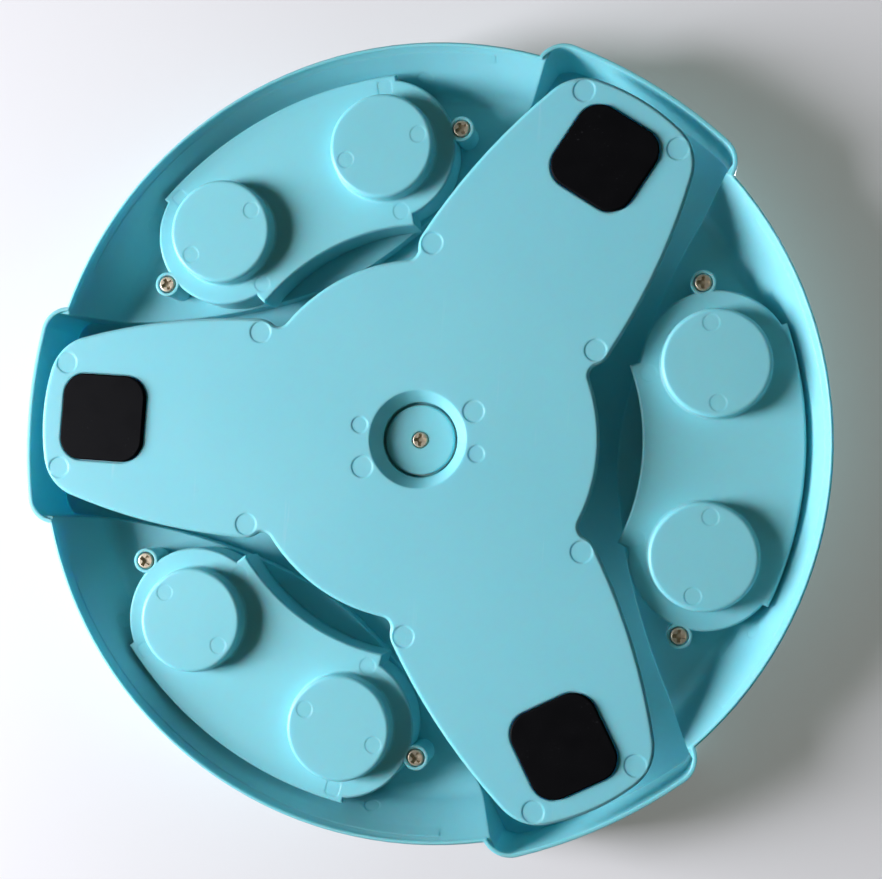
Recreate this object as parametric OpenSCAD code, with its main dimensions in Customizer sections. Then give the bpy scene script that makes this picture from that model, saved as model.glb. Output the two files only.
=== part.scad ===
// Low hand-spun pottery wheel: a three-armed base on rubber feet carries a weighted round
// wheel head on a ball thrust bearing. Millimetres, +Z up, table at z = 0, spin axis on Z.

/* [Wheel head] */
// Outside radius of the skirt at its open bottom rim
rim_r = 140; // [139:0.5:143]
// Height of the skirt's bottom rim above the table
rim_z = 4.2; // [4.2:0.1:5]
// How much the skirt leans in from the rim to the top
skirt_lean = 2.4; // [1.5:0.1:3]
// Skirt wall thickness at the rim
lip_t = 1.4; // [1.1:0.1:2]
// How far the finger lobes stand out from the skirt
lobe_out = 6; // [4:0.5:8]
// Corner radius of a finger lobe
lobe_corner_r = 10; // [7:0.5:11]
// Thickness of the moulded floor
skin_t = 2.3; // [1.8:0.1:2.6]
// Depth of the channel floor below the rim plane
chan_depth = 29; // [28:0.1:30]
// Depth of the three sector platforms below the rim plane
plat_depth = 22.5; // [21:0.1:23]

/* [Top plate] */
// Thickness of the working plate
top_t = 2.4; // [2:0.1:4]
// Number of turned centring rings on the plate
ring_count = 6; // [3:1:8]
// Width of a centring ring
ring_w = 1; // [0.6:0.1:1.6]
// Depth of a centring ring
ring_deep = 0.5; // [0.3:0.1:0.8]

/* [Weight pods] */
// Radius of a pod's outer edge about the spin axis
pod_out_r = 131.8; // [129:0.2:132]
// Radius of a pod's inner edge about the spin axis
pod_in_r = 77; // [75:0.5:80]
// Distance of a boss from the spin axis
boss_pitch_r = 105.2; // [104:0.2:106]
// Half angle between the two bosses of a pod
boss_half_a = 18.2; // [17.5:0.1:19]
// Radius of a boss
boss_r = 18.6; // [17.6:0.1:19]
// Height of a boss above its pod plate
boss_h = 7; // [6:0.1:7.2]
// Wall thickness of a pod
pod_wall = 2; // [1.6:0.1:2.4]
// Thickness of a steel weight
weight_t = 12; // [8:0.5:12.5]
// Clearance round a steel weight
weight_gap = 0.5; // [0.3:0.1:1]

/* [Base] */
// Radius of the base's central disc
disc_r = 62.8; // [58:0.2:66]
// Distance of an arm's tip from the spin axis
arm_reach = 139; // [132:0.5:139.5]
// Half width of an arm at its root
arm_half_w = 38.9; // [34:0.1:40]
// Thickness of the base plate
plate_t = 2.3; // [2:0.1:2.4]
// Height of the base plate above the table
foot_drop = 1.2; // [0.8:0.1:1.2]
// Rounding of the base plate's bottom edge
edge_r = 0.8; // [0.4:0.1:1.2]
// Side length of a foot pad
pad_w = 31; // [24:0.5:32]
// Corner radius of a foot pad
pad_corner_r = 8; // [5:0.5:10]

/* [Bearing] */
// Number of balls
ball_count = 12; // [9:1:14]
// Ball radius
ball_r = 2.5; // [2.3:0.1:2.6]
// Radius of the ball circle
ball_pitch_r = 18; // [17.5:0.1:18.5]
// Spindle radius
spindle_r = 9; // [8.5:0.1:9.2]
// Running clearance of the spindle in its bush
spindle_gap = 0.05; // [0.03:0.01:0.08]
// Radius of the retaining cap
cap_r = 12.2; // [11.8:0.1:12.6]

/* [Hidden] */
$fn = 96;
eps = 0.01;
arm_a = [180, 300, 60];
sector_a = [0, 120, 240];

// Levels
plate_z0 = foot_drop;
plate_z1 = foot_drop + plate_t;
boss_z = rim_z + 0.8;
pod_z = boss_z + boss_h;
plat_z = rim_z + plat_depth;
chan_z = rim_z + chan_depth;
seat_z = chan_z + skin_t;
top_z = seat_z + top_t;

// Skirt and lobes
lip_bevel = 0.5;
wall_top_in = 4.2;
lobe_big_r = 176;
lobe_big_x = rim_r + lobe_out - lobe_big_r;
lobe_corner_a = 10.27;
top_edge_r = 1.6;
lobe_top_z = top_z - 0.6;
lobe_step_in = 0.7;
lobe_step_h = 0.8;
rebate_lip = 2.6;
rebate_r = rim_r - skirt_lean - rebate_lip;
plate_gap = 0.25;
plate_edge_r = 0.5;
ring_margin = 14;
centre_dot_r = 1.5;

// Sector platform outline: two wide arcs and a rounded tip
tip_x = 68;
tip_r = 95;
side_r = 231;
side_y = 21;
side_x = tip_x + tip_r + sqrt(pow(side_r - tip_r, 2) - side_y * side_y);
tip_a = asin(side_y / (side_r - tip_r));
pocket_wall = 2.2;
pocket_r = rebate_r - 3;
pocket_rib_w = 1.6;
pocket_rib_r0 = 84;
pocket_rib_a = [-24, -8, 8, 24];

// Sloping cove between a platform and the skirt
cove_z0 = rim_z + 1;
cove_r0 = rim_r - lip_t - 0.1;
cove_slope = 0.55;
cove_fillet = 6;
cove_steps = 10;
cove_lean = atan(cove_slope);
cove_foot_r = cove_r0 - cove_slope * (plat_z - cove_z0);
cove_tangent = cove_fillet * tan((90 - cove_lean) / 2);
cove_line_z = rim_z + 2.8;
cove_line_h = 7;
cove_line_in = 0.18;
cove_line_half_a = 37;
cove_mark_r = 131.5;
cove_mark_a = 25.7;

// Pods
boss_x = boss_pitch_r * cos(boss_half_a);
boss_y = boss_pitch_r * sin(boss_half_a);
pod_end_r = 25.6;
tab_in = [72, 31.3];
tab_out = [122.6, 48.3];
pod_cove_gap = 0.3;
pod_edge = 0.5;
tab_run_in = 12;
ear_x = 93.7;
ear_y = 60.7;
ear_r = 4.4;
boss_edge_r = 1.4;
boss_foot_r = 0.6;
mark_deep = 0.2;
faint_deep = 0.08;
boss_marks = [[97.2, 46.3], [101.3, 19.3]];
inner_mark = [77.3, 28.5];
outer_mark_r = 127.5;
outer_mark_a = 19.5;
outer_mark_w = 5.2;
outer_mark_corner = 1.2;
pod_depth = plat_z - pod_z;
screw_head_r = 2.9;
screw_head_h = 1.9;
screw_sink = 1.5;
screw_r = 1.5;
screw_len = 13;
screw_pilot_r = 1.5;
pilot_extra = 3;
head_gap = 0.4;
shank_gap = 0.2;
post_r = 4.2;
post_gap = 0.15;
weight_r = boss_r - pod_wall - weight_gap;
weight_z = boss_z + pod_wall;
weight_top_z = weight_z + weight_t;
weight_edge_r = 0.8;
stud_r = 5;

// Base outline
tip_arc_r = 75;
side_arc_r = 216;
arm_corner_r = 16.8;
shoulder_r = 8;
shoulder_x = 60;
notch_r = 4;
notch_bite = 0.08;
tip_cx = arm_reach - tip_arc_r;
corner_d1 = tip_arc_r - arm_corner_r;
corner_d2 = side_arc_r - arm_corner_r;
side_cy = arm_half_w - side_arc_r;
// Arm corner centre: crossing of two circles about the tip arc and side arc centres
cc_dx = shoulder_x - tip_cx;
cc_d = sqrt(cc_dx * cc_dx + side_cy * side_cy);
cc_a = (corner_d1 * corner_d1 - corner_d2 * corner_d2 + cc_d * cc_d) / (2 * cc_d);
cc_h = sqrt(corner_d1 * corner_d1 - cc_a * cc_a);
corner_x = tip_cx + (cc_a * cc_dx - cc_h * side_cy) / cc_d;
corner_y = (cc_a * side_cy + cc_h * cc_dx) / cc_d;
corner_a1 = atan2(corner_y, corner_x - tip_cx);
corner_a2 = atan2(corner_y - side_cy, corner_x - shoulder_x);
shoulder_y = arm_half_w - shoulder_r;
// Notch fillet centre: crossing of two circles about the axis and the shoulder centre
nf_d = sqrt(shoulder_x * shoulder_x + shoulder_y * shoulder_y);
nf_r1 = disc_r + notch_r - notch_bite;
nf_r2 = shoulder_r + notch_r - notch_bite;
nf_a = (nf_r1 * nf_r1 - nf_r2 * nf_r2 + nf_d * nf_d) / (2 * nf_d);
nf_h = sqrt(nf_r1 * nf_r1 - nf_a * nf_a);
notch_x = (nf_a * shoulder_x - nf_h * shoulder_y) / nf_d;
notch_y = (nf_a * shoulder_y + nf_h * shoulder_x) / nf_d;

// Base details
pad_x = 115.6;
pad_t = 2.2;
pad_edge = 0.6;
pad_recess_gap = 0.5;
pad_recess = foot_drop;
rib_w = 2;
rib_top = 4.4;
rib_pitch = 10.5;
rib_past_pad = 10;
hub_rib_h = 4;
hub_rib_r = 48;
hub_rib_n = 12;
arm_marks = [[59.3, 34.1], [131.2, 19.1]];
mark_big_r = 3.8;
mark_small_r = 2.9;
hub_marks = [
  [21.8, 330, mark_big_r],
  [21.8, 150, mark_big_r],
  [21.2, 10, mark_small_r],
  [21.2, 190, mark_small_r]
];

// Hub and bearing
mouth_r = 17.1;
bore_r = cap_r + 1.1;
mouth_z = foot_drop + 5.6;
web_z0 = 10.4;
web_z1 = 12.8;
bush_t = 2;
bush_r = spindle_r + spindle_gap + bush_t;
bush_flange_r = 13;
bush_flange_t = 1.2;
housing_r = 25;
housing_top_z = 16;
race_in_r = 14;
race_out_r = 22;
race_t = 1.9;
race_seat_z = 14.8;
ball_gap = 0.25;
race_z0 = race_seat_z;
groove_deep = 0.5;
ball_z = race_z0 + race_t - groove_deep + ball_gap + ball_r;
race2_z = ball_z + ball_r + ball_gap - groove_deep;
hub_ring_r = 23.5;
cage_t = 1.6;
cage_gap = 0.15;
cap_z = rim_z + 3.2;
cap_t = 2;
cap_edge_r = 0.6;
washer_t = 0.8;
washer_r = 12.4;
core_r = 3.2;
core_len = 13;
insert_len = 9;
cap_screw_r = 1.5;
cap_screw_len = 9;
cap_head_r = 2.7;
cap_head_h = 1.6;
cap_sink = 1.1;
drive_len = 4.2;
drive_w = 1.25;
drive_core_r = 1.1;
drive_deep = 1.15;

// ---- Shared shapes ----

// Disc whose top edge is rounded by f
module soft_disc(r, h, f) {
  rotate_extrude() {
    square([r - f, h]);
    square([r, h - f]);
    translate([r - f, h - f])
      intersection() {
        circle(f);
        square(f);
      }
  }
}

// Wedge from the origin between two angles
module wedge(a1, a2, far) {
  mid = (a1 + a2) / 2;
  polygon([
    [0, 0],
    [far * cos(a1), far * sin(a1)],
    [1.5 * far * cos(mid), 1.5 * far * sin(mid)],
    [far * cos(a2), far * sin(a2)]
  ]);
}

// Square of side w with rounded corners
module rounded_square(w, r) {
  c = w / 2 - r;
  square([w, 2 * c], center = true);
  square([2 * c, w], center = true);
  for (x = [-c, c])
    for (y = [-c, c])
      translate([x, y])
        circle(r);
}

// Cross-head screw pointing up, underside of its head at z = head height
module cross_screw(head_r, head_h, shank_r, shank_len) {
  difference() {
    union() {
      translate([0, 0, head_h])
        mirror([0, 0, 1])
          soft_disc(head_r, head_h, head_h * 0.3);
      translate([0, 0, head_h - eps])
        cylinder(h = shank_len, r = shank_r);
      translate([0, 0, head_h + shank_len - eps])
        cylinder(h = shank_r, r1 = shank_r, r2 = shank_r * 0.3);
    }
    translate([-drive_len / 2, -drive_w / 2, -eps])
      cube([drive_len, drive_w, drive_deep]);
    translate([-drive_w / 2, -drive_len / 2, -eps])
      cube([drive_w, drive_len, drive_deep]);
    translate([0, 0, -eps])
      cylinder(h = drive_deep, r = drive_core_r);
  }
}

// ---- Wheel head ----

// Finger lobe outline on the +X side, drawn in by d
module lobe_2d(d) {
  translate([lobe_big_x, 0]) {
    intersection() {
      circle(lobe_big_r - d);
      wedge(-lobe_corner_a, lobe_corner_a, lobe_big_r * 1.2);
    }
    for (s = [-1, 1])
      rotate(s * lobe_corner_a)
        translate([lobe_big_r - lobe_corner_r, 0])
          circle(lobe_corner_r - d);
  }
}

module lobes_2d(d) {
  for (a = arm_a)
    rotate(a)
      lobe_2d(d);
}

// Sector platform outline on the +X side, drawn in by d
module platform_2d(d) {
  difference() {
    intersection() {
      translate([side_x, -side_y])
        circle(side_r - d);
      translate([side_x, side_y])
        circle(side_r - d);
      translate([0, -rim_r])
        square([rim_r * 1.1, 2 * rim_r]);
    }
    translate([tip_x + tip_r, 0])
      wedge(180 - tip_a, 180 + tip_a, tip_r * 1.2);
  }
  intersection() {
    translate([tip_x + tip_r, 0])
      circle(tip_r - d);
    translate([tip_x + tip_r, 0])
      wedge(180 - tip_a, 180 + tip_a, tip_r * 1.2);
  }
}

// Half section of the wheel head's outside
module outside_section() {
  square_top = rim_r - skirt_lean - top_edge_r;
  polygon([
    [0, rim_z],
    [rim_r - lip_bevel, rim_z],
    [rim_r, rim_z + lip_bevel],
    [rim_r - skirt_lean, top_z - top_edge_r],
    [0, top_z - top_edge_r]
  ]);
  translate([0, rim_z + 1])
    square([square_top, top_z - rim_z - 1]);
  translate([square_top, top_z - top_edge_r])
    circle(top_edge_r);
}

// Half section of the space inside the skirt
module inside_section() {
  wall_r = rim_r - lip_t;
  polygon([
    [0, rim_z - 1],
    [wall_r + lip_bevel, rim_z - 1],
    [wall_r + lip_bevel, rim_z],
    [wall_r, rim_z + lip_bevel],
    [wall_r - wall_top_in, chan_z],
    [0, chan_z]
  ]);
}

function cove_r(z) = cove_r0 - cove_slope * (z - cove_z0);

// Half section of the space under a platform, its outer corner rounded
module cove_section() {
  blend_r = cove_foot_r - cove_tangent;
  blend_z = plat_z - cove_fillet;
  arc = [
    for (i = [0 : cove_steps])
      let (a = cove_lean + (90 - cove_lean) * i / cove_steps)
        [blend_r + cove_fillet * cos(a), blend_z + cove_fillet * sin(a)]
  ];
  polygon(concat([[0, rim_z - 1], [cove_r(rim_z - 1), rim_z - 1]], arc, [[0, plat_z]]));
}

// Sector platform and its cove, standing on the channel floor
module platform_block() {
  base_z = cove_z0 - 0.3;
  difference() {
    translate([0, 0, base_z])
      linear_extrude(chan_z + 1 - base_z)
        platform_2d(0);
    rotate_extrude()
      cove_section();
  }
  // Faint moulding line along the cove
  rotate([0, 0, -cove_line_half_a])
    rotate_extrude(angle = 2 * cove_line_half_a)
      polygon([
        [cove_r(cove_line_z) + 1, cove_line_z],
        [cove_r(cove_line_z) - cove_line_in, cove_line_z + 0.1],
        [cove_r(cove_line_z + cove_line_h) + 0.1, cove_line_z + cove_line_h],
        [cove_r(cove_line_z + cove_line_h) + 1, cove_line_z + cove_line_h]
      ]);
}

// Open pocket above one sector platform
module pocket_2d() {
  intersection() {
    platform_2d(pocket_wall);
    circle(pocket_r);
  }
}

// Ribs that hold the top plate above one sector pocket
module pocket_ribs() {
  z0 = plat_z + skin_t - 1;
  h = seat_z - z0;
  for (a = pocket_rib_a)
    rotate(a)
      translate([pocket_rib_r0, -pocket_rib_w / 2, z0])
        cube([pocket_r + 1 - pocket_rib_r0, pocket_rib_w, h]);
}

module screw_posts() {
  z0 = pod_z + pod_wall + screw_sink;
  for (s = [-1, 1])
    translate([ear_x, s * ear_y, z0])
      cylinder(h = seat_z - z0, r = post_r);
}

// Studs that hold the weights down in their bosses
module weight_studs() {
  z0 = weight_top_z + weight_gap;
  for (s = [-1, 1])
    translate([boss_x, s * boss_y, z0])
      cylinder(h = plat_z + 1 - z0, r = stud_r);
}

module screw_pilots() {
  for (s = [-1, 1])
    translate([ear_x, s * ear_y, pod_z])
      cylinder(h = screw_len + pilot_extra, r = screw_pilot_r);
}

// Space under the wheel head, with the sector platforms left standing
module underside_space() {
  difference() {
    union() {
      rotate_extrude()
        inside_section();
      translate([0, 0, rim_z - 1])
        linear_extrude(chan_z - rim_z + 1)
          lobes_2d(lip_t);
    }
    for (a = sector_a)
      rotate(a)
        platform_block();
  }
}

// Ejector marks on the cove's slope
module cove_marks() {
  for (s = [-1, 1])
    rotate(s * cove_mark_a)
      translate([cove_mark_r, 0, cove_z0 + (cove_r0 - cove_mark_r) / cove_slope])
        rotate([0, 90 - cove_lean, 0])
          translate([0, 0, -1])
            cylinder(h = 1 + faint_deep, r = mark_small_r);
}

module wheel_head() {
  color([0.45, 0.75, 0.80])
    difference() {
      union() {
        difference() {
          union() {
            rotate_extrude()
              outside_section();
            translate([0, 0, rim_z])
              linear_extrude(lobe_top_z - lobe_step_h - rim_z)
                lobes_2d(0);
            translate([0, 0, rim_z])
              linear_extrude(lobe_top_z - rim_z)
                lobes_2d(lobe_step_in);
          }
          underside_space();
          translate([0, 0, seat_z])
            cylinder(h = top_t + 1, r = rebate_r);
          for (a = sector_a)
            rotate(a)
              translate([0, 0, plat_z + skin_t])
                linear_extrude(chan_z)
                  pocket_2d();
        }
        for (a = sector_a)
          rotate(a) {
            pocket_ribs();
            screw_posts();
            weight_studs();
          }
        // Hub ring and spindle
        translate([0, 0, race2_z + race_t])
          cylinder(h = seat_z - race2_z - race_t - 1, r = hub_ring_r);
        translate([0, 0, cap_z + cap_t])
          cylinder(h = seat_z - cap_z - cap_t - 1, r = spindle_r);
      }
      for (a = sector_a)
        rotate(a) {
          screw_pilots();
          cove_marks();
        }
      // Core for the threaded insert
      translate([0, 0, cap_z + cap_t - 1])
        cylinder(h = 1 + core_len, r = core_r);
    }
}

module top_plate() {
  color([0.50, 0.78, 0.83])
    translate([0, 0, seat_z])
      difference() {
        soft_disc(rebate_r - plate_gap, top_t, plate_edge_r);
        for (i = [1 : ring_count])
          translate([0, 0, top_t - ring_deep])
            rotate_extrude()
              translate([i * (rebate_r - ring_margin) / ring_count, 0])
                square([ring_w, ring_deep + 1]);
        translate([0, 0, top_t - ring_deep])
          cylinder(h = 1, r = centre_dot_r);
      }
}

// ---- Pods ----

// Pod outline on the +X side, drawn in by d
module pod_2d(d) {
  ax = tab_in[0];
  ay = tab_in[1];
  run = tab_out[0] - ax;
  rise = tab_out[1] - ay;
  slope_len = sqrt(run * run + rise * rise);
  dy = d * slope_len / run;
  difference() {
    intersection() {
      circle(pod_out_r - d);
      polygon([
        [ax - tab_run_in, ay - tab_run_in * rise / run - dy],
        [ax + 2 * run, ay + 2 * rise - dy],
        [ax + 2 * run, -ay - 2 * rise + dy],
        [ax - tab_run_in, -ay + tab_run_in * rise / run + dy]
      ]);
    }
    circle(pod_in_r + d);
  }
  for (s = [-1, 1])
    translate([boss_x, s * boss_y])
      circle(pod_end_r - d);
}

// Cone that keeps a pod's wall d inside the cove
module pod_cone(d) {
  z0 = pod_z - 1;
  r1 = cove_r(z0) - pod_cove_gap - d;
  r2 = cove_foot_r - cove_tangent - pod_cove_gap - d;
  translate([0, 0, z0])
    cylinder(h = plat_z - z0, r1 = r1, r2 = r2);
}

module pod_body() {
  intersection() {
    union() {
      translate([0, 0, pod_z + pod_edge])
        linear_extrude(pod_depth - pod_edge)
          pod_2d(0);
      translate([0, 0, pod_z + pod_edge * 0.4])
        linear_extrude(pod_edge)
          pod_2d(pod_edge * 0.4);
      translate([0, 0, pod_z])
        linear_extrude(pod_edge)
          pod_2d(pod_edge);
    }
    pod_cone(0);
  }
}

module pod_hollow() {
  intersection() {
    translate([0, 0, pod_z + pod_wall])
      linear_extrude(pod_depth)
        pod_2d(pod_wall);
    translate([0, 0, 1])
      pod_cone(pod_wall);
  }
}

module pod_cover() {
  difference() {
    union() {
      pod_body();
      // Screw ears
      for (s = [-1, 1])
        translate([ear_x, s * ear_y, pod_z])
          cylinder(h = pod_wall + screw_sink, r = ear_r);
      // Bosses
      for (s = [-1, 1])
        translate([boss_x, s * boss_y, pod_z + eps])
          mirror([0, 0, 1]) {
            soft_disc(boss_r, boss_h + eps, boss_edge_r);
            cylinder(h = boss_foot_r, r1 = boss_r + boss_foot_r, r2 = boss_r);
          }
    }
    pod_hollow();
    for (s = [-1, 1]) {
      translate([boss_x, s * boss_y, weight_z])
        cylinder(h = weight_t + weight_gap, r = boss_r - pod_wall);
      translate([ear_x, s * ear_y, pod_z - 1])
        cylinder(h = 1 + screw_sink, r = screw_head_r + head_gap);
      translate([ear_x, s * ear_y, pod_z])
        cylinder(h = pod_depth, r = screw_r + shank_gap);
      // Room for the platform's screw post
      translate([ear_x, s * ear_y, pod_z + pod_wall + screw_sink])
        cylinder(h = pod_depth, r = post_r + post_gap);
      // Ejector marks
      for (m = boss_marks)
        translate([m[0], s * m[1], boss_z - 1])
          cylinder(h = 1 + faint_deep, r = mark_small_r);
      translate([inner_mark[0], s * inner_mark[1], pod_z - 1])
        cylinder(h = 1 + faint_deep, r = mark_small_r);
      rotate(s * outer_mark_a)
        translate([outer_mark_r, 0, pod_z - 1])
          linear_extrude(1 + faint_deep)
            rounded_square(outer_mark_w, outer_mark_corner);
    }
  }
}

module pod_cover_1() {
  color([0.44, 0.74, 0.79])
    rotate(sector_a[0])
      pod_cover();
}

module pod_cover_2() {
  color([0.44, 0.74, 0.79])
    rotate(sector_a[1])
      pod_cover();
}

module pod_cover_3() {
  color([0.44, 0.74, 0.79])
    rotate(sector_a[2])
      pod_cover();
}

// Steel slug seated in boss s of sector i
module weight(i, s) {
  color([0.55, 0.56, 0.58])
    rotate(sector_a[i])
      translate([boss_x, s * boss_y, weight_z])
        soft_disc(weight_r, weight_t, weight_edge_r);
}

module weight_1() {
  weight(0, -1);
}

module weight_2() {
  weight(0, 1);
}

module weight_3() {
  weight(1, -1);
}

module weight_4() {
  weight(1, 1);
}

module weight_5() {
  weight(2, -1);
}

module weight_6() {
  weight(2, 1);
}

module pod_screws() {
  color([0.75, 0.70, 0.60])
    for (a = sector_a)
      rotate(a)
        for (s = [-1, 1])
          translate([ear_x, s * ear_y, pod_z + screw_sink - screw_head_h])
            cross_screw(screw_head_r, screw_head_h, screw_r, screw_len);
}

// ---- Spindle and bearing ----

module spindle_insert() {
  color([0.80, 0.66, 0.36])
    translate([0, 0, cap_z + cap_t])
      difference() {
        cylinder(h = insert_len, r = core_r);
        translate([0, 0, -1])
          cylinder(h = insert_len + 2, r = cap_screw_r);
      }
}

module retaining_cap() {
  color([0.42, 0.72, 0.77])
    translate([0, 0, cap_z])
      difference() {
        translate([0, 0, cap_t])
          mirror([0, 0, 1])
            soft_disc(cap_r, cap_t, cap_edge_r);
        translate([0, 0, -1])
          cylinder(h = cap_t + 2, r = cap_screw_r + 0.2);
        translate([0, 0, -1])
          cylinder(h = 1 + cap_sink, r = cap_head_r + 0.3);
      }
}

module cap_screw() {
  color([0.75, 0.70, 0.60])
    translate([0, 0, cap_z + cap_sink - cap_head_h])
      cross_screw(cap_head_r, cap_head_h, cap_screw_r, cap_screw_len);
}

module thrust_washer() {
  color([0.92, 0.92, 0.90])
    translate([0, 0, cap_z + cap_t])
      difference() {
        cylinder(h = washer_t, r = washer_r);
        translate([0, 0, -1])
          cylinder(h = washer_t + 2, r = spindle_r + 0.1);
      }
}

// Flat race with a ball groove in its top face
module race() {
  difference() {
    cylinder(h = race_t, r = race_out_r);
    translate([0, 0, -1])
      cylinder(h = race_t + 2, r = race_in_r);
    translate([0, 0, race_t - groove_deep + ball_r + ball_gap])
      rotate_extrude()
        translate([ball_pitch_r, 0])
          circle(ball_r + ball_gap);
  }
}

module race_lower() {
  color([0.72, 0.73, 0.75])
    translate([0, 0, race_z0])
      race();
}

module race_upper() {
  color([0.72, 0.73, 0.75])
    translate([0, 0, race2_z + race_t])
      mirror([0, 0, 1])
        race();
}

module bearing_balls() {
  color([0.80, 0.81, 0.83])
    for (i = [0 : ball_count - 1])
      rotate(i * 360 / ball_count)
        translate([ball_pitch_r, 0, ball_z])
          sphere(r = ball_r, $fn = 48);
}

module ball_cage() {
  color([0.93, 0.93, 0.90])
    translate([0, 0, ball_z - cage_t / 2])
      difference() {
        cylinder(h = cage_t, r = race_out_r - 0.5);
        translate([0, 0, -1])
          cylinder(h = cage_t + 2, r = race_in_r + 0.5);
        for (i = [0 : ball_count - 1])
          rotate(i * 360 / ball_count)
            translate([ball_pitch_r, 0, -1])
              cylinder(h = cage_t + 2, r = ball_r + cage_gap);
      }
}

module spindle_bush() {
  color([0.90, 0.90, 0.86])
    difference() {
      union() {
        translate([0, 0, web_z0])
          cylinder(h = race_seat_z + race_t - web_z0, r = bush_r);
        translate([0, 0, web_z1])
          cylinder(h = bush_flange_t, r = bush_flange_r);
      }
      translate([0, 0, web_z0 - 1])
        cylinder(h = race_seat_z, r = spindle_r + spindle_gap);
    }
}

// ---- Base ----

// One arm's outline on the +X side, drawn in by d
module arm_2d(d) {
  difference() {
    intersection() {
      translate([shoulder_x, side_cy])
        circle(side_arc_r - d);
      translate([shoulder_x, -side_cy])
        circle(side_arc_r - d);
      translate([tip_cx, 0])
        circle(tip_arc_r - d);
      translate([shoulder_x, -arm_half_w])
        square([arm_reach, 2 * arm_half_w]);
    }
    for (s = [0, 1])
      mirror([0, s])
        translate([corner_x, corner_y])
          wedge(corner_a1, corner_a2, arm_corner_r * 1.4);
  }
  for (s = [-1, 1]) {
    translate([corner_x, s * corner_y])
      circle(arm_corner_r - d);
    translate([shoulder_x, s * shoulder_y])
      circle(shoulder_r - d);
  }
  translate([shoulder_x - shoulder_r + d, -shoulder_y])
    square([shoulder_r, 2 * shoulder_y]);
}

// Small fillets between the disc and the arms
module notch_fill_2d(d) {
  for (s = [-1, 1])
    difference() {
      polygon([
        [0, 0],
        [notch_x, s * notch_y],
        [shoulder_x, s * shoulder_y]
      ]);
      translate([notch_x, s * notch_y])
        circle(notch_r + d);
    }
}

module base_2d(d) {
  circle(disc_r - d);
  for (a = arm_a)
    rotate(a) {
      arm_2d(d);
      notch_fill_2d(d);
    }
}

module base_ribs() {
  for (a = arm_a)
    rotate(a)
      for (s = [-1, 0, 1])
        translate([housing_r - 1, s * rib_pitch - rib_w / 2, plate_z1 - eps])
          cube([pad_x + rib_past_pad - housing_r, rib_w, rib_top - plate_z1]);
  for (i = [0 : hub_rib_n - 1])
    rotate(i * 360 / hub_rib_n)
      translate([housing_r - 1, -rib_w / 2, plate_z1 - eps])
        cube([hub_rib_r - housing_r, rib_w, hub_rib_h]);
  translate([0, 0, plate_z1 - eps])
    difference() {
      cylinder(h = hub_rib_h, r = hub_rib_r);
      translate([0, 0, -1])
        cylinder(h = hub_rib_h + 2, r = hub_rib_r - rib_w);
    }
}

module base_plate() {
  color([0.47, 0.76, 0.81])
    difference() {
      union() {
        translate([0, 0, plate_z0 + edge_r])
          linear_extrude(plate_t - edge_r)
            base_2d(0);
        translate([0, 0, plate_z0 + edge_r * 0.35])
          linear_extrude(edge_r)
            base_2d(edge_r * 0.3);
        translate([0, 0, plate_z0])
          linear_extrude(edge_r)
            base_2d(edge_r);
        base_ribs();
        translate([0, 0, plate_z0])
          cylinder(h = housing_top_z - plate_z0, r = housing_r);
      }
      // Hub mouth, cap well and spindle bore
      translate([0, 0, plate_z0])
        cylinder(h = mouth_z - plate_z0, r1 = mouth_r, r2 = bore_r);
      translate([0, 0, plate_z0 - 1])
        cylinder(h = 1 + eps, r = mouth_r);
      translate([0, 0, mouth_z - eps])
        cylinder(h = web_z0 - mouth_z + eps, r = bore_r);
      translate([0, 0, web_z0 - 1])
        cylinder(h = race_seat_z, r = bush_r);
      translate([0, 0, web_z1])
        cylinder(h = race_seat_z, r = bush_flange_r);
      translate([0, 0, race_seat_z])
        cylinder(h = race_seat_z, r = race_out_r);
      // Pad recesses and ejector marks
      for (a = arm_a)
        rotate(a) {
          translate([pad_x, 0, plate_z0 - 1])
            linear_extrude(1 + pad_t - pad_recess)
              rounded_square(pad_w + 2 * pad_recess_gap, pad_corner_r + pad_recess_gap);
          for (m = arm_marks)
            for (s = [-1, 1])
              translate([m[0], s * m[1], plate_z0 - 1])
                cylinder(h = 1 + mark_deep, r = mark_big_r);
        }
      for (m = hub_marks)
        rotate(m[1])
          translate([m[0], 0, plate_z0 - 1])
            cylinder(h = 1 + mark_deep, r = m[2]);
    }
}

module foot_pad(i) {
  color([0.06, 0.06, 0.06])
    rotate(arm_a[i])
      translate([pad_x, 0, 0]) {
        translate([0, 0, pad_edge])
          linear_extrude(pad_t - pad_edge)
            rounded_square(pad_w, pad_corner_r);
        linear_extrude(pad_edge + eps)
          rounded_square(pad_w - pad_edge, pad_corner_r - pad_edge / 2);
      }
}

module foot_pad_1() {
  foot_pad(0);
}

module foot_pad_2() {
  foot_pad(1);
}

module foot_pad_3() {
  foot_pad(2);
}

wheel_head();
top_plate();
pod_cover_1();
pod_cover_2();
pod_cover_3();
weight_1();
weight_2();
weight_3();
weight_4();
weight_5();
weight_6();
pod_screws();
spindle_insert();
retaining_cap();
cap_screw();
thrust_washer();
race_upper();
ball_cage();
bearing_balls();
race_lower();
spindle_bush();
base_plate();
foot_pad_1();
foot_pad_2();
foot_pad_3();
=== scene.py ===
import math

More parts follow.
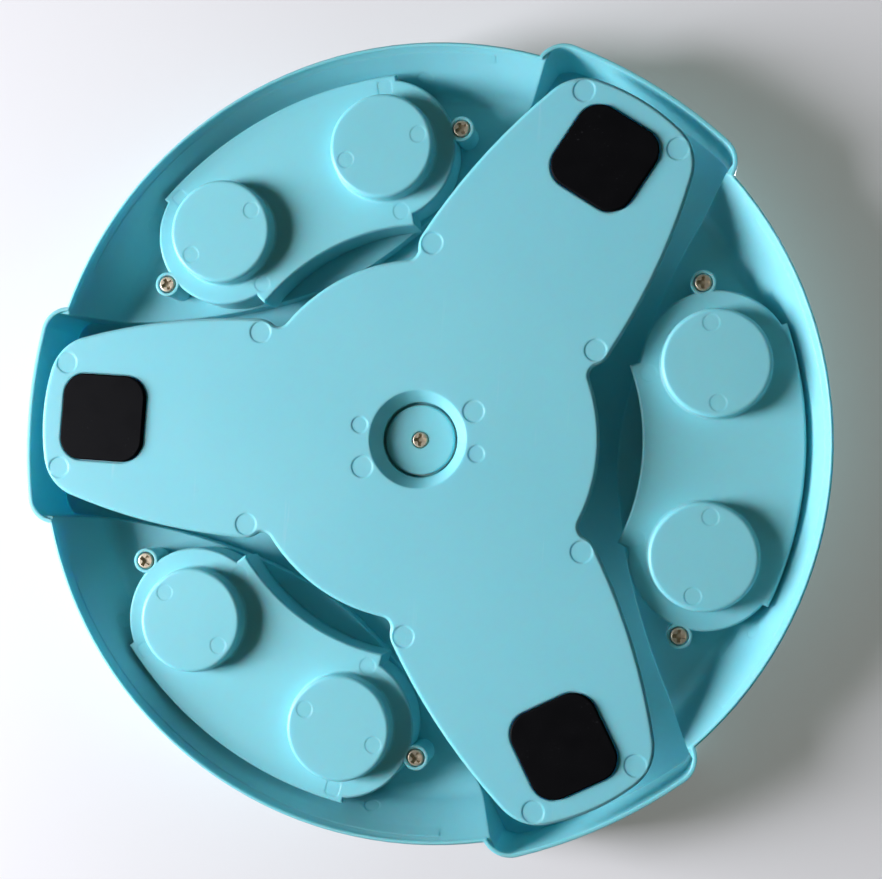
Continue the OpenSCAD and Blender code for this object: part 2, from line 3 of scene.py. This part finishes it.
import bpy
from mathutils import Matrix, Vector


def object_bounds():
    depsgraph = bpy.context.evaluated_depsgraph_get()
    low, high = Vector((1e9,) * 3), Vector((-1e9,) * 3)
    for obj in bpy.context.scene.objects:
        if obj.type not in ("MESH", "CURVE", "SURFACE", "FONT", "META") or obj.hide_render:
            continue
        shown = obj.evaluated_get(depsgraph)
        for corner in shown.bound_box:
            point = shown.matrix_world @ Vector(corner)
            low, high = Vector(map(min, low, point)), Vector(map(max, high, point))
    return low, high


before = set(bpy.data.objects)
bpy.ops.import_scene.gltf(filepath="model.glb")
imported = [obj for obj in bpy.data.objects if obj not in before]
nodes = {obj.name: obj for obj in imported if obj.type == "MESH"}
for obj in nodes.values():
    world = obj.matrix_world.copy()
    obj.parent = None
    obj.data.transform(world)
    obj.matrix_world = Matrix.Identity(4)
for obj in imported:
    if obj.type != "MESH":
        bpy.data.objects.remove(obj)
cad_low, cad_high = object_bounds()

MM = 0.001
FLOOR_GAP = 0.2 * MM
FLOOR_HALF = 6.0
WALL_RADIUS = 9.0
LAMP_TARGET = (0, 0, 0.02)

# ---- Material helpers ----


class Graph:
    """A material with a Principled shader and short calls for the nodes that feed it."""

    def __init__(self, name):
        self.material = bpy.data.materials.new(name)
        self.material.use_nodes = True
        self.tree = self.material.node_tree
        self.shader = self.tree.nodes["Principled BSDF"]
        self.place = self.add("ShaderNodeTexCoord").outputs["Object"]

    def add(self, kind, **values):
        node = self.tree.nodes.new(kind)
        for key, value in values.items():
            setattr(node, key, value)
        return node

    def link(self, source, target):
        self.tree.links.new(source, target)

    def noise(self, scale, detail=2.0, roughness=0.5, stretch=None):
        node = self.add("ShaderNodeTexNoise")
        node.inputs["Scale"].default_value = scale
        node.inputs["Detail"].default_value = detail
        node.inputs["Roughness"].default_value = roughness
        if stretch:
            mapping = self.add("ShaderNodeMapping")
            mapping.inputs["Scale"].default_value = stretch[0]
            mapping.inputs["Rotation"].default_value = stretch[1]
            self.link(self.place, mapping.inputs["Vector"])
            self.link(mapping.outputs["Vector"], node.inputs["Vector"])
        else:
            self.link(self.place, node.inputs["Vector"])
        return node.outputs["Fac"]

    def spread(self, source, low, high, out_low, out_high):
        """Stretch the range low..high of a value to out_low..out_high."""
        node = self.add("ShaderNodeMapRange")
        for key, value in (("From Min", low), ("From Max", high),
                           ("To Min", out_low), ("To Max", out_high)):
            node.inputs[key].default_value = value
        self.link(source, node.inputs["Value"])
        return node.outputs["Result"]

    def math(self, kind, first, second):
        node = self.add("ShaderNodeMath", operation=kind)
        for slot, value in enumerate((first, second)):
            if isinstance(value, (int, float)):
                node.inputs[slot].default_value = value
            else:
                self.link(value, node.inputs[slot])
        return node.outputs["Value"]

    def mix(self, factor, first, second):
        node = self.add("ShaderNodeMix", data_type="RGBA")
        self.link(factor, node.inputs["Factor"])
        for key, value in (("A", first), ("B", second)):
            socket = [s for s in node.inputs if s.name == key and s.type == "RGBA"][0]
            if isinstance(value, (tuple, list)):
                socket.default_value = (*value, 1.0)
            else:
                self.link(value, socket)
        return [s for s in node.outputs if s.type == "RGBA"][0]

    def bump(self, height, strength, distance, normal=None):
        node = self.add("ShaderNodeBump")
        node.inputs["Strength"].default_value = strength
        node.inputs["Distance"].default_value = distance
        self.link(height, node.inputs["Height"])
        if normal is not None:
            self.link(normal, node.inputs["Normal"])
        return node.outputs["Normal"]

    def round_edges(self, radius):
        """A normal that makes the edges look rounded."""
        node = self.add("ShaderNodeBevel")
        node.samples = 6
        node.inputs["Radius"].default_value = radius
        return node.outputs["Normal"]

    def set(self, **values):
        """Feed the Principled shader's sockets; an underscore stands for a space."""
        for key, value in values.items():
            socket = self.shader.inputs[key.replace("_", " ")]
            if isinstance(value, bpy.types.NodeSocket):
                self.link(value, socket)
            elif isinstance(value, (tuple, list)) and len(value) == 3:
                socket.default_value = (*value, 1.0)
            else:
                socket.default_value = value


def moulded_plastic(name, light, deep, edge_radius, scuffs=0.0):
    """Satin plastic that lets a little light through, with fine grain and optional scuffs."""
    g = Graph(name)
    cloud = g.noise(14, detail=3)
    colour = g.mix(g.spread(cloud, 0.3, 0.7, 0, 1), deep, light)
    grain = g.noise(1600, detail=2)
    rough_grain = g.spread(grain, 0.3, 0.7, 0.34, 0.44)
    rough = g.math("ADD", rough_grain, g.spread(cloud, 0.3, 0.7, -0.02, 0.03))
    if scuffs:
        streak = g.noise(260, detail=3, roughness=0.65, stretch=((1.0, 0.05, 1.0), (0, 0, 0.5)))
        patch = g.noise(22, detail=2)
        lines = g.spread(streak, 0.62, 0.74, 0, 1)
        worn = g.math("MULTIPLY", lines, g.spread(patch, 0.52, 0.66, 0, scuffs))
        colour = g.mix(worn, colour, (0.62, 0.86, 0.92))
        rough = g.math("ADD", rough, g.math("MULTIPLY", worn, 0.2))
    normal = g.bump(grain, 0.10, 0.05 * MM, g.round_edges(edge_radius))
    g.set(Base_Color=colour, Roughness=rough, Normal=normal, IOR=1.5)
    g.set(Subsurface_Weight=0.6, Subsurface_Scale=3.0 * MM)
    g.shader.inputs["Subsurface Radius"].default_value = (0.12, 0.8, 1.0)
    return g.material


AQUA_LIGHT = (0.295, 0.755, 0.815)
AQUA_DEEP = (0.275, 0.730, 0.795)
head_plastic = moulded_plastic("aqua_head", AQUA_LIGHT, AQUA_DEEP, 0.9 * MM)
base_plastic = moulded_plastic("aqua_base", AQUA_LIGHT, AQUA_DEEP, 1.0 * MM, scuffs=0.35)
pod_plastic = moulded_plastic("aqua_pod", AQUA_LIGHT, AQUA_DEEP, 0.8 * MM)
plate_plastic = moulded_plastic("aqua_plate", AQUA_LIGHT, AQUA_DEEP, 0.5 * MM, scuffs=0.4)


def rubber():
    g = Graph("foot_rubber")
    grain = g.noise(2600, detail=2)
    specks = g.spread(g.noise(900, detail=2), 0.66, 0.74, 0, 1)
    dust = g.math("MULTIPLY", specks, g.spread(g.noise(60), 0.5, 0.7, 0, 0.5))
    colour = g.mix(dust, (0.004, 0.004, 0.0045), (0.05, 0.052, 0.055))
    rough = g.spread(g.noise(120, detail=3), 0.3, 0.7, 0.42, 0.6)
    normal = g.bump(grain, 0.15, 0.05 * MM, g.round_edges(0.5 * MM))
    g.set(Base_Color=colour, Roughness=rough, Normal=normal, IOR=1.4, Specular_IOR_Level=0.08)
    return g.material


def metal(name, light, deep, rough, scale, edge, metallic=1.0):
    """Metal with two tones; rough is the lowest and highest roughness."""
    g = Graph(name)
    tone = g.noise(scale, detail=3)
    colour = g.mix(g.spread(tone, 0.35, 0.65, 0, 1), deep, light)
    sheen = g.spread(g.noise(scale * 3, detail=2), 0.3, 0.7, *rough)
    normal = g.bump(tone, 0.08, 0.03 * MM, g.round_edges(edge))
    g.set(Base_Color=colour, Roughness=sheen, Metallic=metallic, Normal=normal)
    return g.material


def white_plastic():
    g = Graph("bearing_plastic")
    cloud = g.noise(60, detail=3)
    colour = g.mix(g.spread(cloud, 0.3, 0.7, 0, 1), (0.78, 0.78, 0.73), (0.84, 0.84, 0.80))
    g.set(Base_Color=colour, Roughness=g.spread(g.noise(900), 0.3, 0.7, 0.35, 0.5),
          Normal=g.bump(g.noise(1800), 0.15, 0.03 * MM), IOR=1.48)
    return g.material


rubber_black = rubber()
screw_metal = metal("screw_metal", (0.74, 0.64, 0.47), (0.60, 0.50, 0.35), (0.32, 0.48),
                    700, 0.12 * MM, metallic=0.6)
weight_metal = metal("weight_metal", (0.50, 0.51, 0.53), (0.36, 0.37, 0.39), (0.35, 0.5),
                     300, 0.3 * MM)
brass = metal("insert_brass", (0.80, 0.58, 0.28), (0.66, 0.45, 0.20), (0.25, 0.4),
              500, 0.1 * MM)
bearing_metal = metal("bearing_metal", (0.72, 0.73, 0.75), (0.64, 0.65, 0.68), (0.12, 0.22),
                      400, 0.1 * MM)
nylon = white_plastic()

LOOKS = {
    "wheel_head": head_plastic,
    "top_plate": plate_plastic,
    "pod_cover": pod_plastic,
    "retaining_cap": pod_plastic,
    "base_plate": base_plastic,
    "foot_pad": rubber_black,
    "pod_screws": screw_metal,
    "cap_screw": screw_metal,
    "weight": weight_metal,
    "spindle_insert": brass,
    "race": bearing_metal,
    "bearing_balls": bearing_metal,
    "thrust_washer": nylon,
    "ball_cage": nylon,
    "spindle_bush": nylon,
}
for name, piece in nodes.items():
    look = next(LOOKS[key] for key in LOOKS if name.startswith(key))
    for slot in piece.material_slots:
        slot.material = look

# ---- Floors, each shown from one side only, and the wall ----


def keep_off_object(thing):
    """The thing is seen but gives the object no light, reflection or shadow."""
    thing.visible_diffuse = False
    thing.visible_glossy = False
    thing.visible_transmission = False
    thing.visible_shadow = False


def one_sided_floor(name, z, facing):
    half = FLOOR_HALF
    corners = [(-half, -half, z), (half, -half, z), (half, half, z), (-half, half, z)]
    mesh = bpy.data.meshes.new(name)
    mesh.from_pydata(corners, [], [(0, 1, 2, 3) if facing > 0 else (3, 2, 1, 0)])
    floor = bpy.data.objects.new(name, mesh)
    bpy.context.scene.collection.objects.link(floor)
    g = Graph(name)
    tone = g.noise(3.0, detail=4)
    pale = g.mix(g.spread(tone, 0.3, 0.7, 0, 1), (0.66, 0.655, 0.645), (0.70, 0.695, 0.685))
    g.set(Base_Color=pale, Roughness=0.75,
          Emission_Color=(1.0, 0.99, 0.97), Emission_Strength=0.16)
    back = g.add("ShaderNodeNewGeometry").outputs["Backfacing"]
    clear = g.add("ShaderNodeBsdfTransparent")
    both = g.add("ShaderNodeMixShader")
    g.link(back, both.inputs["Fac"])
    g.link(g.shader.outputs["BSDF"], both.inputs[1])
    g.link(clear.outputs["BSDF"], both.inputs[2])
    g.link(both.outputs["Shader"], g.tree.nodes["Material Output"].inputs["Surface"])
    mesh.materials.append(g.material)
    keep_off_object(floor)


one_sided_floor("floor_under_face", cad_high.z + FLOOR_GAP, -1)
one_sided_floor("floor_under_feet", cad_low.z - FLOOR_GAP, 1)


def backdrop(radius):
    """A pale wall all round, seen past the floor's edge; it gives the object no light."""
    bpy.ops.mesh.primitive_uv_sphere_add(segments=48, ring_count=24, radius=radius)
    wall = bpy.context.active_object
    wall.name = "backdrop"
    g = Graph("backdrop")
    g.set(Base_Color=(0.0, 0.0, 0.0), Roughness=1.0,
          Emission_Color=(0.56, 0.555, 0.54), Emission_Strength=1.0)
    wall.data.materials.append(g.material)
    keep_off_object(wall)


backdrop(WALL_RADIUS)

# ---- Lights ----


def area_light(name, place, width, height, power, colour):
    data = bpy.data.lights.new(name, "AREA")
    data.shape = "RECTANGLE"
    data.size = width
    data.size_y = height
    data.energy = power
    data.color = colour
    lamp = bpy.data.objects.new(name, data)
    bpy.context.scene.collection.objects.link(lamp)
    lamp.location = place
    lamp.rotation_euler = (Vector(LAMP_TARGET) - Vector(place)).to_track_quat("-Z", "Y").to_euler()
    return lamp


area_light("window_below", (-1.13, 0.17, -0.58), 0.45, 0.75, 29.8, (0.99, 0.99, 1.10))
area_light("window_above", (0.75, -0.45, 1.15), 0.9, 0.9, 21.0, (1.0, 0.99, 0.97))

world = bpy.data.worlds.new("studio")
world.use_nodes = True
background = world.node_tree.nodes["Background"]
background.inputs["Color"].default_value = (0.90, 0.97, 0.70, 1.0)
background.inputs["Strength"].default_value = 0.056
bpy.context.scene.world = world
bpy.context.scene.view_settings.view_transform = "Standard"

# ---- Camera ----

camera_data = bpy.data.cameras.new("camera")
camera_data.sensor_width = 36.0
camera_data.lens = 57.06
camera_data.shift_x = 0.0065
camera_data.shift_y = 0.0017
camera_data.clip_start = 0.01
camera_data.clip_end = 50.0
camera = bpy.data.objects.new("camera", camera_data)
bpy.context.scene.collection.objects.link(camera)
camera.location = (0.089909, 0.012139, -0.474608)
camera.rotation_euler = (math.radians(-177.8557), math.radians(-9.8268), math.radians(-4.2361))
bpy.context.scene.camera = camera
